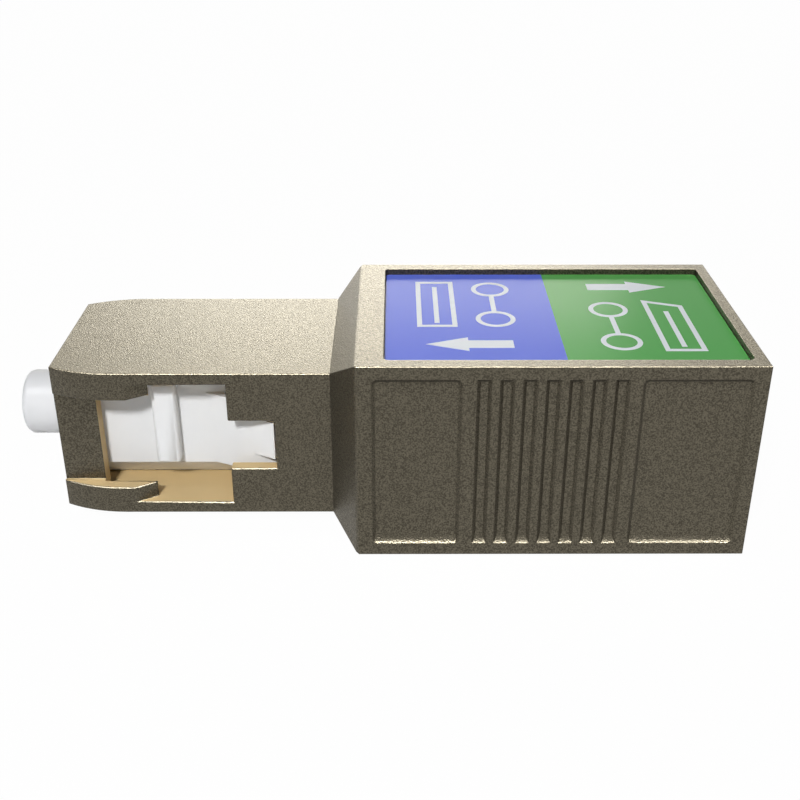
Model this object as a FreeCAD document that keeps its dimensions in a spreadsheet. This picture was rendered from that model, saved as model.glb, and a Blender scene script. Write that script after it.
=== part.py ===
import FreeCAD, Part
import math
import os
import re
import Sketcher

# Male to female fibre adapter, in millimetres.
# +X runs along the optical axis from the plug to the socket, +Z is up.
# The origin is the centre of the housing's flat base.

# Every driving size, with the value that its cell in the sheet holds.
SIZES = {
    # How far a cut runs on past the piece
    "overshoot": 1.0,
    # Housing
    "body_length": 18.0,
    "body_width": 12.6,
    "body_height": 9.7,
    "body_edge_radius": 0.05,
    "body_rim_radius": 0.04,
    "shoulder_length": 1.18,
    "shoulder_bevel": 0.07,
    # Plug end of the housing
    "plug_length": 12.77,
    "plug_width": 9.0,
    "plug_height": 7.3,
    "plug_side_wall": 0.64,
    "plug_flat_wall": 0.57,
    "plug_edge_radius": 0.05,
    "nose_length": 2.95,
    "nose_inset": 0.75,
    "bridge_length": 1.9,
    "bridge_inset": 0.89,
    "bridge_thickness": 0.83,
    "arm_gap": 4.6,
    "ramp_start": 3.47,
    "ramp_length": 0.96,
    "ramp_land": 0.04,
    "window_end": 8.05,
    "slot_length": 2.15,
    "slot_height": 2.5,
    "key_width": 2.4,
    "key_height": 0.8,
    "key_start": 5.5,
    # Socket end of the housing
    "mate_clearance": 0.075,
    "step_setback": 0.8,
    "hook_pocket_width": 10.5,
    "hook_pocket_height": 6.2,
    "hook_pocket_depth": 8.5,
    "keyway_width": 2.6,
    "keyway_height": 0.95,
    "keyway_length": 9.5,
    # Grip panels and label
    "panel_depth": 0.18,
    "panel_wall_angle": 45.0,
    "panel_corner": 0.28,
    "panel_border": 0.62,
    "foot_angle": 33.0,
    "foot_lip": 0.01,
    "foot_root": 0.1,
    "panel_left_start": 0.7,
    "panel_left_width": 4.0,
    "panel_right_start": 12.5,
    "panel_right_width": 4.9,
    "groove_start": 5.3,
    "groove_width": 0.68,
    "groove_pitch": 1.0,
    "groove_count": 7,
    "label_left_border": 1.25,
    "label_right_border": 0.55,
    "label_side_border": 0.7,
    "label_recess": 0.4,
    "label_thickness": 0.1,
    "label_gap": 0.04,
    "label_corner": 0.25,
    # Plug frame
    "frame_setback": 0.35,
    "frame_bridge_clearance": 0.08,
    "frame_front_gap": 0.08,
    "frame_chamfer": 1.08,
    "frame_bevel": 0.3,
    "frame_front_length": 6.45,
    "frame_flare_length": 1.75,
    "frame_side_margin": 0.1,
    "frame_side_clearance": 0.31,
    "frame_rear_clearance": 0.11,
    "frame_rear_radius": 0.9,
    "frame_end_setback": 1.25,
    "rib_start": 4.0,
    "rib_width": 1.15,
    "rib_lift": 0.15,
    "rib_drop": 0.47,
    "rib_height": 0.6,
    "rib_radius": 0.2,
    "barb_length": 1.15,
    "barb_width": 1.9,
    "barb_height": 0.6,
    "barb_gap": 0.1,
    "frame_mouth_wall": 0.45,
    "frame_mouth_depth": 6.2,
    "frame_web": 1.0,
    "web_clearance": 0.05,
    "frame_rear_bore": 4.8,
    "hex_pocket_depth": 1.6,
    # Ferrule unit
    "ferrule_diameter": 2.5,
    "ferrule_length": 20.85,
    "ferrule_protrusion": 1.9,
    "ferrule_chamfer": 0.35,
    "ferrule_tip_angle": 8.0,
    "fibre_diameter": 0.125,
    "flange_flats": 4.0,
    "flange_thickness": 1.0,
    "flange_clearance": 0.05,
    "spring_wire": 0.45,
    "spring_clearance": 0.025,
    "spring_turns": 5.0,
    "spring_space": 4.4,
    # Ferrule cap
    "cap_diameter": 3.15,
    "cap_end": 0.5,
    "cap_depth": 5.7,
    "cap_clearance": 0.02,
    "cap_edge": 0.35,
    "cap_lead": 0.12,
    # Latch insert and sleeve
    "ring_thickness": 0.6,
    "ring_bore_clearance": 0.1,
    "ring_clearance": 0.1,
    "sleeve_wall": 0.335,
    "sleeve_length": 11.4,
    "sleeve_clearance": 0.015,
    "sleeve_slit": 0.4,
    "sleeve_play": 0.05,
    "tube_clearance": 0.1,
    "tube_wall": 0.45,
    "tube_lip": 0.5,
    "boss_clearance": 0.05,
    "base_thickness": 1.5,
    "base_clearance": 0.12,
    "base_corner": 0.4,
    "hook_gap": 0.175,
    "hook_thickness": 0.75,
    "hook_width": 4.0,
    "hook_length": 10.45,
    "head_length": 2.35,
    "head_width": 5.9,
    "head_rise": 0.15,
    "tooth_length": 1.3,
    "tooth_height": 0.7,
    "tooth_lead": 0.8,
}

# How close two numbers are to count as equal.
SAME = 1e-4
# How many flat strips make up the hollow curve at the foot of the grip's panels.
FOOT_STRIPS = 6
# How much of an edge's direction lies along an axis for it to count as parallel.
PARALLEL = 0.7

doc = FreeCAD.newDocument("FibreAdapter")
sheet = doc.addObject("Spreadsheet::Sheet", "Sizes")
for row, (alias, number) in enumerate(SIZES.items(), start=1):
    sheet.set("A%d" % row, str(number))
    sheet.setAlias("A%d" % row, alias)
doc.recompute()

# Places along the axis that more than one piece uses, as formulas.
FACE = "(-body_length / 2)"
MOUTH = "(body_length / 2)"
FOOT = "(%s - shoulder_length)" % FACE
TIP = "(%s - plug_length)" % FOOT
STEP = "(%s + step_setback)" % FACE
BRIDGE_END = "(%s + bridge_length)" % TIP
RAMP_TIP = "(%s + ramp_start + ramp_length)" % TIP
WINDOW_END = "(%s + window_end)" % TIP
SLOT_END = "(%s + slot_length)" % WINDOW_END
INNER_WIDTH = "(plug_width / 2 - plug_side_wall)"
INNER_HEIGHT = "(plug_height / 2 - plug_flat_wall)"
BRIDGE_FACE = "(plug_width / 2 - bridge_inset)"
BRIDGE_BACK = "(%s - bridge_thickness)" % BRIDGE_FACE
SOCKET_WIDTH = "(plug_width / 2 + mate_clearance)"
SOCKET_HEIGHT = "(plug_height / 2 + mate_clearance)"
FRAME_TIP = "(%s + frame_setback)" % TIP
FLARE_START = "(%s + frame_front_length)" % FRAME_TIP
FLARE_END = "(%s + frame_flare_length)" % FLARE_START
FRAME_END = "(%s + frame_end_setback)" % STEP
FRAME_SIDE = "(%s - frame_bridge_clearance)" % BRIDGE_BACK
FRAME_RISE = "(%s - frame_front_gap)" % INNER_HEIGHT
FRAME_FLAT = "(%s - frame_chamfer - frame_side_margin)" % FRAME_RISE
RIB_FOOT = "(%s - rib_lift)" % FRAME_FLAT
FRAME_WIDTH = "(%s - frame_side_clearance)" % INNER_WIDTH
FRAME_HEIGHT = "(%s - frame_rear_clearance)" % INNER_HEIGHT
WEB_START = "(%s + frame_mouth_depth)" % FRAME_TIP
WEB_END = "(%s + frame_web)" % WEB_START
FLANGE_END = "(%s + flange_thickness)" % WEB_END
RING_START = "(%s + spring_space)" % FLANGE_END
RING_END = "(%s + ring_thickness)" % RING_START
SLEEVE_START = "(%s + sleeve_play)" % RING_END
SLEEVE_END = "(%s + sleeve_length)" % SLEEVE_START
LIP_START = "(%s + sleeve_play)" % SLEEVE_END
TUBE_END = "(%s + tube_lip)" % LIP_START
FERRULE_TIP = "(%s - ferrule_protrusion)" % TIP
FERRULE_END = "(%s + ferrule_length)" % FERRULE_TIP
CAP_TIP = "(%s - cap_end)" % FERRULE_TIP


def formula(text):
    """The same formula with every size's name pointing at its cell."""
    return re.sub(r"[a-z_]+", lambda m: "Sizes." + m[0] if m[0] in SIZES else m[0], text)


def value(text):
    """What a formula comes to with the sizes as they stand."""
    return float(sheet.evalExpression(formula(text)))


def new_body(name):
    """An empty body named after its node."""
    body = doc.addObject("PartDesign::Body", name)
    body.Label = name
    return body


def new_sketch(body, name, view, at="0"):
    """A sketch whose own origin is on the optical axis, seen in plan, from the side or from the end."""
    plane = {"plan": "XY_Plane", "side": "XZ_Plane", "end": "YZ_Plane"}[view]
    sketch = body.newObject("Sketcher::SketchObject", name)
    support = [item for item in body.Origin.OriginFeatures if item.Role == plane][0]
    sketch.AttachmentSupport = (support, [""])
    sketch.MapMode = "FlatFace"
    if view == "plan":
        sketch.setExpression("AttachmentOffset.Base.z", formula("body_height / 2 + " + at))
    else:
        sketch.setExpression("AttachmentOffset.Base.y", formula("body_height / 2"))
        sign = "-1 * " if view == "side" else ""
        sketch.setExpression("AttachmentOffset.Base.z", formula(sign + at))
    return sketch


def pin(sketch, geometry, end, along, text):
    """Ties one coordinate of a point to a formula."""
    if text == "0":
        axis = -2 if along == "DistanceX" else -1
        sketch.addConstraint(Sketcher.Constraint("PointOnObject", geometry, end, axis))
        return
    index = sketch.addConstraint(Sketcher.Constraint(along, -1, 1, geometry, end, value(text)))
    name = "size%d" % index
    sketch.renameConstraint(index, name)
    sketch.setExpression("Constraints." + name, formula(text))


def outline(sketch, corners, arcs=None):
    """A closed outline with its corners tied to formulas.

    arcs gives the radius of each side that is an outward arc, by the side's number.
    Corners run anticlockwise.
    """
    points = [FreeCAD.Vector(value(x), value(y), 0) for x, y in corners]
    sides = []
    for number, start in enumerate(points):
        finish = points[(number + 1) % len(points)]
        radius = (arcs or {}).get(number)
        if radius is None:
            sides.append(sketch.addGeometry(Part.LineSegment(start, finish)))
            continue
        size = value(radius)
        chord = finish - start
        inward = FreeCAD.Vector(-chord.y, chord.x, 0).normalize()
        centre = (start + finish) / 2 + inward * math.sqrt(size ** 2 - (chord.Length / 2) ** 2)
        begin = math.atan2(start.y - centre.y, start.x - centre.x)
        stop = math.atan2(finish.y - centre.y, finish.x - centre.x)
        circle = Part.Circle(centre, FreeCAD.Vector(0, 0, 1), size)
        sides.append(sketch.addGeometry(Part.ArcOfCircle(circle, begin, stop)))
    for number, side in enumerate(sides):
        following = sides[(number + 1) % len(sides)]
        sketch.addConstraint(Sketcher.Constraint("Coincident", side, 2, following, 1))
    for number, (x, y) in enumerate(corners):
        pin(sketch, sides[number], 1, "DistanceX", x)
        pin(sketch, sides[number], 1, "DistanceY", y)
    for number, radius in (arcs or {}).items():
        index = sketch.addConstraint(Sketcher.Constraint("Radius", sides[number], value(radius)))
        sketch.renameConstraint(index, "radius%d" % index)
        sketch.setExpression("Constraints.radius%d" % index, formula(radius))


def box(sketch, left, right, low, high):
    """A rectangle between four formulas."""
    outline(sketch, [(left, low), (right, low), (right, high), (left, high)])


def rounded(sketch, left, right, low, high, radius):
    """A rectangle between four formulas with round corners."""
    outline(
        sketch,
        [
            (right, "%s - %s" % (high, radius)),
            ("%s - %s" % (right, radius), high),
            ("%s + %s" % (left, radius), high),
            (left, "%s - %s" % (high, radius)),
            (left, "%s + %s" % (low, radius)),
            ("%s + %s" % (left, radius), low),
            ("%s - %s" % (right, radius), low),
            (right, "%s + %s" % (low, radius)),
        ],
        {0: radius, 2: radius, 4: radius, 6: radius},
    )


def block_outline(sketch, wide, high, radius):
    """A rectangle of full width and height about the sketch's origin, with round corners."""
    rounded(sketch, "-%s / 2" % wide, "%s / 2" % wide, "-%s / 2" % high, "%s / 2" % high, radius)


def disc(sketch, diameter, across="0"):
    """A circle about the sketch's origin, or set off from it sideways."""
    circle = Part.Circle(FreeCAD.Vector(value(across), 0, 0), FreeCAD.Vector(0, 0, 1), value(diameter) / 2)
    geometry = sketch.addGeometry(circle)
    pin(sketch, geometry, 3, "DistanceX", across)
    pin(sketch, geometry, 3, "DistanceY", "0")
    index = sketch.addConstraint(Sketcher.Constraint("Diameter", geometry, value(diameter)))
    sketch.renameConstraint(index, "size%d" % index)
    sketch.setExpression("Constraints.size%d" % index, formula(diameter))


def settle(feature):
    """Recomputes and stops where the feature came out wrong."""
    doc.recompute()
    if not feature.isValid() or "Touched" in feature.State:
        raise RuntimeError("%s: %s" % (feature.Label, feature.getStatusString()))
    return feature


def sweep_out(kind, body, name, sketch, length, both=False, back=False, taper=None):
    """Pads or pockets a sketch, with walls that lean in by taper, and checks that the body changed."""
    before = body.Shape.Volume if body.Tip and kind == "Pocket" else 0.0
    feature = body.newObject("PartDesign::" + kind, name)
    feature.Profile = sketch
    feature.SideType = "Symmetric" if both else "One side"
    feature.Reversed = back
    feature.setExpression("Length", formula(length))
    if taper:
        feature.setExpression("TaperAngle", formula("-%s * 1deg" % taper))
    settle(feature)
    grown = body.Shape.Volume - before
    if abs(grown) < SAME or (kind == "Pocket") == (grown > 0):
        raise RuntimeError("%s left %s as it was" % (name, body.Label))
    return feature


def pad(*given, **options):
    return sweep_out("Pad", *given, **options)


def pocket(*given, **options):
    return sweep_out("Pocket", *given, **options)


def turn(body, name, corners, kind="Revolution", arcs=None):
    """A half section, drawn above the axis in side view, turned about the optical axis."""
    sketch = new_sketch(body, name + "_section", "side")
    outline(sketch, corners, arcs)
    feature = body.newObject("PartDesign::" + kind, name)
    feature.Profile = sketch
    feature.ReferenceAxis = (sketch, ["H_Axis"])
    feature.Angle = 360
    return settle(feature)


def loft(body, name, profile, sections):
    """A straight-sided blend from one sketch through others."""
    feature = body.newObject("PartDesign::AdditiveLoft", name)
    feature.Profile = profile
    feature.Sections = sections
    feature.Ruled = True
    return settle(feature)


def soften(body, name, radius, wanted, kind="Fillet"):
    """Rounds or bevels the edges whose middle and direction the test accepts."""
    tip = body.Tip
    names = []
    for number, edge in enumerate(tip.Shape.Edges, start=1):
        if edge.Degenerated:
            continue
        middle = edge.valueAt((edge.FirstParameter + edge.LastParameter) / 2)
        along = edge.tangentAt((edge.FirstParameter + edge.LastParameter) / 2)
        if wanted(middle, along):
            names.append("Edge%d" % number)
    if not names:
        raise RuntimeError(name + " found no edge")
    feature = body.newObject("PartDesign::" + kind, name)
    feature.Base = (tip, names)
    feature.setExpression("Radius" if kind == "Fillet" else "Size", formula(radius))
    return settle(feature)


def near(number, text):
    """True where a number is what a formula comes to."""
    return abs(number - value(text)) < SAME


# Outer shell: plug sleeve, sloped shoulder and housing block
shell = new_body("outer_shell")
nose = "((nose_length ^ 2 + nose_inset ^ 2) / (2 * nose_inset))"
plug_plan = new_sketch(shell, "plug_plan", "plan")
outline(
    plug_plan,
    [
        (FOOT, "plug_width / 2"),
        (TIP + " + nose_length", "plug_width / 2"),
        (TIP, "plug_width / 2 - nose_inset"),
        (TIP, "nose_inset - plug_width / 2"),
        (TIP + " + nose_length", "-plug_width / 2"),
        (FOOT, "-plug_width / 2"),
    ],
    {1: nose, 3: nose},
)
pad(shell, "plug_block", plug_plan, "plug_height", both=True)
soften(shell, "plug_edges", "plug_edge_radius", lambda p, d: not near(p.x, FOOT))

BLOCK_START = "(%s + shoulder_bevel)" % FACE
narrow = new_sketch(shell, "shoulder_narrow", "end", FOOT)
block_outline(narrow, "plug_width", "plug_height", "plug_edge_radius")
part_way = "shoulder_bevel / shoulder_length"
widest = new_sketch(shell, "shoulder_top", "end", "(%s - shoulder_bevel)" % FACE)
block_outline(
    widest,
    "(body_width - (body_width - plug_width) * %s)" % part_way,
    "(body_height - (body_height - plug_height) * %s)" % part_way,
    "body_edge_radius",
)
section = new_sketch(shell, "housing_section", "end", BLOCK_START)
block_outline(section, "body_width", "body_height", "body_edge_radius")
loft(shell, "shoulder", narrow, [widest, section])

section = new_sketch(shell, "housing_block_section", "end", BLOCK_START)
block_outline(section, "body_width", "body_height", "body_edge_radius")
pad(shell, "housing_block", section, "body_length - shoulder_bevel")
soften(shell, "mouth_rim", "body_rim_radius", lambda p, d: near(p.x, MOUTH))

key = new_sketch(shell, "key_plan", "plan", "(-plug_height / 2)")
box(key, TIP + " + key_start", FOOT, "-key_width / 2", "key_width / 2")
pad(shell, "key", key, "key_height", back=True)

# Hollows of the shell, from the mouth inwards
cut = new_sketch(shell, "socket_outline", "end", MOUTH)
box(cut, "-" + SOCKET_WIDTH, SOCKET_WIDTH, "-" + SOCKET_HEIGHT, SOCKET_HEIGHT)
pocket(shell, "socket", cut, "body_length - step_setback")

cut = new_sketch(shell, "hook_pocket_outline", "end", MOUTH)
half_wide = "hook_pocket_width / 2"
half_high = "hook_pocket_height / 2"
box(cut, "-" + half_wide, half_wide, "-" + half_high, half_high)
pocket(shell, "hook_pockets", cut, "hook_pocket_depth")

cut = new_sketch(shell, "keyway_outline", "end", MOUTH)
box(cut, "-keyway_width / 2", "keyway_width / 2", "-plug_height / 2 - keyway_height", "0")
pocket(shell, "keyway", cut, "keyway_length")

cut = new_sketch(shell, "plug_hollow_outline", "end", STEP)
box(cut, "-" + INNER_WIDTH, INNER_WIDTH, "-" + INNER_HEIGHT, INNER_HEIGHT)
pocket(shell, "plug_hollow", cut, "%s - %s" % (STEP, BRIDGE_END))

cut = new_sketch(shell, "tip_hollow_outline", "end", BRIDGE_END)
box(cut, "-" + BRIDGE_BACK, BRIDGE_BACK, "-" + INNER_HEIGHT, INNER_HEIGHT)
pocket(shell, "tip_hollow", cut, "bridge_length")

# Side windows with their rear slots, the recess over the bridges and the release ramps
cut = new_sketch(shell, "window_outline", "side")
outline(
    cut,
    [
        (BRIDGE_END, "-arm_gap / 2"),
        (RAMP_TIP, "-arm_gap / 2"),
        (RAMP_TIP, "-" + INNER_HEIGHT),
        (WINDOW_END, "-" + INNER_HEIGHT),
        (WINDOW_END, "-slot_height / 2"),
        (SLOT_END, "-slot_height / 2"),
        (SLOT_END, "slot_height / 2"),
        (WINDOW_END, "slot_height / 2"),
        (WINDOW_END, INNER_HEIGHT),
        (RAMP_TIP, INNER_HEIGHT),
        (RAMP_TIP, "arm_gap / 2"),
        (BRIDGE_END, "arm_gap / 2"),
    ],
)
pocket(shell, "windows", cut, "2 * plug_width", both=True)

cut = new_sketch(shell, "bridge_recess_plan", "plan")
box(cut, TIP + " - overshoot", BRIDGE_END, BRIDGE_FACE, "plug_width")
box(cut, TIP + " - overshoot", BRIDGE_END, "-plug_width", "-" + BRIDGE_FACE)
pocket(shell, "bridge_recess", cut, "arm_gap", both=True)

cut = new_sketch(shell, "ramp_plan", "plan")
ramp = "(%s + ramp_land)" % INNER_WIDTH
start = "(%s + ramp_start)" % TIP
outline(cut, [(start, "plug_width / 2"), (RAMP_TIP, ramp), (RAMP_TIP, "plug_width / 2")])
outline(cut, [(start, "-plug_width / 2"), (RAMP_TIP, "-plug_width / 2"), (RAMP_TIP, "-" + ramp)])
pocket(shell, "release_ramps", cut, "2 * " + INNER_HEIGHT, both=True)

# Label recess and the grip's panels and grooves
LABEL_LEFT = "(%s + label_left_border)" % FACE
LABEL_RIGHT = "(%s - label_right_border)" % MOUTH
LABEL_SIDE = "(body_width / 2 - label_side_border)"
recess = new_sketch(shell, "label_recess_plan", "plan", "(body_height / 2)")
rounded(recess, LABEL_LEFT, LABEL_RIGHT, "-" + LABEL_SIDE, LABEL_SIDE, "label_corner")
pocket(shell, "label_recess", recess, "label_recess")

low = "(panel_border - body_height / 2)"
high = "(body_height / 2 - panel_border)"
for side, face in (("front", "(-body_width / 2)"), ("back", "(body_width / 2)")):
    cut = new_sketch(shell, side + "_panels_outline", "side", face)
    for which in ("left", "right"):
        start = "(%s + panel_%s_start)" % (FACE, which)
        rounded(cut, start, "(%s + panel_%s_width)" % (start, which), low, high, "panel_corner")
    inward = {"back": side == "back", "taper": "panel_wall_angle"}
    pocket(shell, side + "_panels", cut, "panel_depth", **inward)
    cut = new_sketch(shell, side + "_groove_outline", "side", face)
    start = "(%s + groove_start)" % FACE
    box(cut, start, "(%s + groove_width)" % start, low, high)
    groove = pocket(shell, side + "_groove", cut, "panel_depth", **inward)
    row = shell.newObject("PartDesign::LinearPattern", side + "_grooves")
    row.Originals = [groove]
    row.Direction = (cut, ["H_Axis"])
    row.Mode = "Spacing"
    row.setExpression("Offset", formula("groove_pitch"))
    row.setExpression("Occurrences", formula("groove_count"))
    shell.Tip = row
    settle(row)

# The hollow curve that leads each panel and groove out to the face at its foot
foot_radius = "((panel_depth - foot_lip) / (1 - cos(foot_angle * 1deg)))"
foot_height = "(%s * sin(foot_angle * 1deg))" % foot_radius
curve = []
for step in range(FOOT_STRIPS + 1):
    lean = "(foot_angle * %d / %d * 1deg)" % (step, FOOT_STRIPS)
    out = "(body_width / 2 - panel_depth + %s * (1 - cos(%s)))" % (foot_radius, lean)
    up = "(%s + foot_lip + %s - %s * sin(%s))" % (low, foot_height, foot_radius, lean)
    curve.append((out, up))
root = "(body_width / 2 - panel_depth - foot_root)"
profile = [(root, curve[0][1])] + [(root, curve[-1][1])] + curve[::-1]
for side, sign in (("front", "-1"), ("back", "1")):
    foot = new_sketch(shell, side + "_foot_section", "end", "(%s + panel_left_start)" % FACE)
    placed = [("%s * %s" % (sign, y), z) for y, z in profile]
    outline(foot, placed if side == "back" else placed[::-1])
    pad(shell, side + "_foot", foot, "panel_right_start + panel_right_width - panel_left_start")

# Label
label = new_body("label")
sheet_plan = new_sketch(label, "label_plan", "plan", "(body_height / 2 - label_recess)")
left = "(%s + label_gap)" % LABEL_LEFT
right = "(%s - label_gap)" % LABEL_RIGHT
edge = "(%s - label_gap)" % LABEL_SIDE
rounded(sheet_plan, left, right, "-" + edge, edge, "label_corner")
pad(label, "label_sheet", sheet_plan, "label_thickness")

# Plug frame: nose with its lower corners cut off, flared sides, rear block, ribs and barbs
frame = new_body("plug_frame")
section = new_sketch(frame, "nose_section", "end", FRAME_TIP)
under = "(%s - frame_chamfer)" % FRAME_SIDE
over = "(%s - frame_bevel)" % FRAME_SIDE
outline(section, [
    ("-" + under, "-" + FRAME_RISE),
    (under, "-" + FRAME_RISE),
    (FRAME_SIDE, "frame_chamfer - " + FRAME_RISE),
    (FRAME_SIDE, FRAME_RISE + " - frame_bevel"),
    (over, FRAME_RISE),
    ("-" + over, FRAME_RISE),
    ("-" + FRAME_SIDE, FRAME_RISE + " - frame_bevel"),
    ("-" + FRAME_SIDE, "frame_chamfer - " + FRAME_RISE),
])
pad(frame, "nose", section, "frame_front_length + frame_flare_length")
flare = new_sketch(frame, "flare_plan", "plan")
outline(flare, [
    (FLARE_START, "-" + FRAME_SIDE),
    (FLARE_END, "-" + FRAME_WIDTH),
    (FLARE_END, FRAME_WIDTH),
    (FLARE_START, FRAME_SIDE),
])
pad(frame, "flare", flare, "2 * " + FRAME_FLAT, both=True)
section = new_sketch(frame, "rear_section", "end", FLARE_END)
block_outline(section, "(2 * %s)" % FRAME_WIDTH, "(2 * %s)" % FRAME_HEIGHT, "frame_rear_radius")
pad(frame, "rear_block", section, "%s - %s" % (FRAME_END, FLARE_END))

rib = new_sketch(frame, "rib_plan", "plan", "(-%s)" % RIB_FOOT)
rib_start = "(%s + rib_start)" % FRAME_TIP
reach = "(%s + rib_height)" % FRAME_SIDE
box(rib, rib_start, rib_start + " + rib_width", "-" + reach, reach)
pad(frame, "ribs", rib, "%s + %s - rib_drop" % (RIB_FOOT, FRAME_RISE))


def on_rib(middle, along):
    """True for the edges round a rib's face and those at the corners of its foot."""
    if middle.x > value(FLARE_START):
        return False
    at_foot = near(middle.z, "body_height / 2 - " + RIB_FOOT)
    return near(abs(middle.y), reach) or at_foot and abs(along.y) > PARALLEL


soften(frame, "rib_rounding", "rib_radius", on_rib)

barb = new_sketch(frame, "barb_plan", "plan")
barb_end = "(%s - barb_gap)" % SLOT_END
barb_top = "(%s + barb_height)" % FRAME_WIDTH
barb_start = "(%s - barb_length)" % barb_end
outline(barb, [
    (barb_start, "-" + FRAME_WIDTH),
    (barb_end, "-" + barb_top),
    (barb_end, barb_top),
    (barb_start, FRAME_WIDTH),
])
pad(frame, "barbs", barb, "barb_width", both=True)

cut = new_sketch(frame, "mouth_bore_section", "end", FRAME_TIP)
disc(cut, "2 * (%s - frame_mouth_wall)" % FRAME_SIDE)
pocket(frame, "mouth_bore", cut, "frame_mouth_depth", back=True)
cut = new_sketch(frame, "web_hole_section", "end", WEB_START)
disc(cut, "ferrule_diameter + 2 * web_clearance")
pocket(frame, "web_hole", cut, "frame_web", back=True)
cut = new_sketch(frame, "hex_pocket_section", "end", WEB_END)
FLATS = "(flange_flats / 2 + flange_clearance)"


def hexagon(apothem):
    """The corners of a hexagon standing on a corner, about the sketch's origin."""
    side = "(%s * 2 / sqrt(3))" % apothem
    return [
        (apothem, side + " / -2"),
        (apothem, side + " / 2"),
        ("0", side),
        ("-" + apothem, side + " / 2"),
        ("-" + apothem, side + " / -2"),
        ("0", "-" + side),
    ]


outline(cut, hexagon(FLATS))
pocket(frame, "hex_pocket", cut, "hex_pocket_depth", back=True)
cut = new_sketch(frame, "rear_bore_section", "end", FRAME_END)
disc(cut, "frame_rear_bore")
pocket(frame, "rear_bore", cut, "%s - %s - hex_pocket_depth" % (FRAME_END, WEB_END))

# Ferrule with its fibre, collar and spring
ferrule = new_body("ferrule")
radius = "(ferrule_diameter / 2)"
core = "(fibre_diameter / 2)"
turn(ferrule, "ferrule_turned", [
    (FERRULE_TIP, core),
    (FERRULE_END, core),
    (FERRULE_END, radius + " - ferrule_chamfer"),
    (FERRULE_END + " - ferrule_chamfer", radius),
    (FERRULE_TIP + " + ferrule_chamfer", radius),
    (FERRULE_TIP, radius + " - ferrule_chamfer"),
])
lean = "(%s * tan(ferrule_tip_angle * 1deg))" % radius
cut = new_sketch(ferrule, "angled_end_outline", "side")
outline(cut, [
    (FERRULE_END + " + overshoot", "-2 * " + radius),
    (FERRULE_END + " + overshoot", "2 * " + radius),
    (FERRULE_END + " - 2 * " + lean, "2 * " + radius),
    (FERRULE_END + " + 2 * " + lean, "-2 * " + radius),
])
pocket(ferrule, "angled_end", cut, "2 * ferrule_diameter", both=True)

fibre = new_body("fibre_stub")
section = new_sketch(fibre, "fibre_section", "end", FERRULE_TIP)
disc(section, "fibre_diameter")
pad(fibre, "fibre", section, "ferrule_length")

flange = new_body("ferrule_flange")
section = new_sketch(flange, "flange_section", "end", WEB_END)
outline(section, hexagon("(flange_flats / 2)"))
pad(flange, "flange_hex", section, "flange_thickness")
cut = new_sketch(flange, "flange_bore_section", "end", WEB_END)
disc(cut, "ferrule_diameter")
pocket(flange, "flange_bore", cut, "flange_thickness", back=True)

spring = new_body("ferrule_spring")
SPRING_RADIUS = "((flange_flats - spring_wire) / 2 - spring_clearance)"
wire = new_sketch(spring, "wire_section", "side")
circle = Part.Circle(FreeCAD.Vector(value(FLANGE_END + " + spring_wire / 2"), value(SPRING_RADIUS), 0),
                     FreeCAD.Vector(0, 0, 1), value("spring_wire / 2"))
round_wire = wire.addGeometry(circle)
pin(wire, round_wire, 3, "DistanceX", FLANGE_END + " + spring_wire / 2")
pin(wire, round_wire, 3, "DistanceY", SPRING_RADIUS)
index = wire.addConstraint(Sketcher.Constraint("Diameter", round_wire, value("spring_wire")))
wire.renameConstraint(index, "wire")
wire.setExpression("Constraints.wire", formula("spring_wire"))
coil = spring.newObject("PartDesign::AdditiveHelix", "coil")
coil.Profile = wire
coil.ReferenceAxis = (wire, ["H_Axis"])
coil.Mode = "height-turns-angle"
coil.setExpression("Height", formula("spring_space - spring_wire"))
coil.setExpression("Turns", formula("spring_turns"))
settle(coil)

ring = new_body("stop_ring")
RING_BORE = "(ferrule_diameter / 2 + ring_bore_clearance)"
section = new_sketch(ring, "ring_section", "end", RING_START)
disc(section, "frame_rear_bore - 2 * ring_clearance")
disc(section, "2 * " + RING_BORE)
pad(ring, "washer", section, "ring_thickness")

# Ferrule cap
cap = new_body("ferrule_cap")
inner = "(%s + cap_clearance)" % radius
outer = "(cap_diameter / 2)"
CAP_END = "(%s + cap_depth)" % FERRULE_TIP
turn(cap, "cap_turned", [
    (CAP_TIP, "0"),
    (FERRULE_TIP, "0"),
    (FERRULE_TIP, inner),
    (CAP_END + " - cap_lead", inner),
    (CAP_END, inner + " + cap_lead"),
    (CAP_END, outer),
    (CAP_TIP, outer),
])
soften(cap, "cap_rounding", "cap_edge", lambda p, d: near(p.x, CAP_TIP))

# Latch insert: base plate, boss, sleeve-holder tube and the two hooks
latch = new_body("latch_insert")
BASE_END = "(%s + base_thickness)" % FRAME_END
half_wide = "(%s - base_clearance)" % SOCKET_WIDTH
half_high = "(%s - base_clearance)" % SOCKET_HEIGHT
section = new_sketch(latch, "base_section", "end", FRAME_END)
box(section, "-" + half_wide, half_wide, "-" + half_high, half_high)
pad(latch, "base_plate", section, "base_thickness")
soften(latch, "base_corners", "base_corner", lambda p, d: abs(d.x) > PARALLEL)

sleeve_outer = "(%s + sleeve_clearance + sleeve_wall)" % radius
tube_inner = "(%s + tube_clearance)" % sleeve_outer
tube_outer = "(%s + tube_wall)" % tube_inner
boss = "(frame_rear_bore / 2 - boss_clearance)"
inside = "(%s + base_thickness / 2)" % FRAME_END
turn(latch, "tube", [
    (inside, tube_inner),
    (LIP_START, tube_inner),
    (LIP_START, RING_BORE),
    (TUBE_END, RING_BORE),
    (TUBE_END, tube_outer),
    (inside, tube_outer),
])
turn(latch, "boss", [(RING_END, tube_inner), (inside, tube_inner), (inside, boss), (RING_END, boss)])
cut = new_sketch(latch, "tube_bore_section", "end", FRAME_END)
disc(cut, "2 * " + tube_inner)
pocket(latch, "tube_bore", cut, "base_thickness", back=True)

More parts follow.
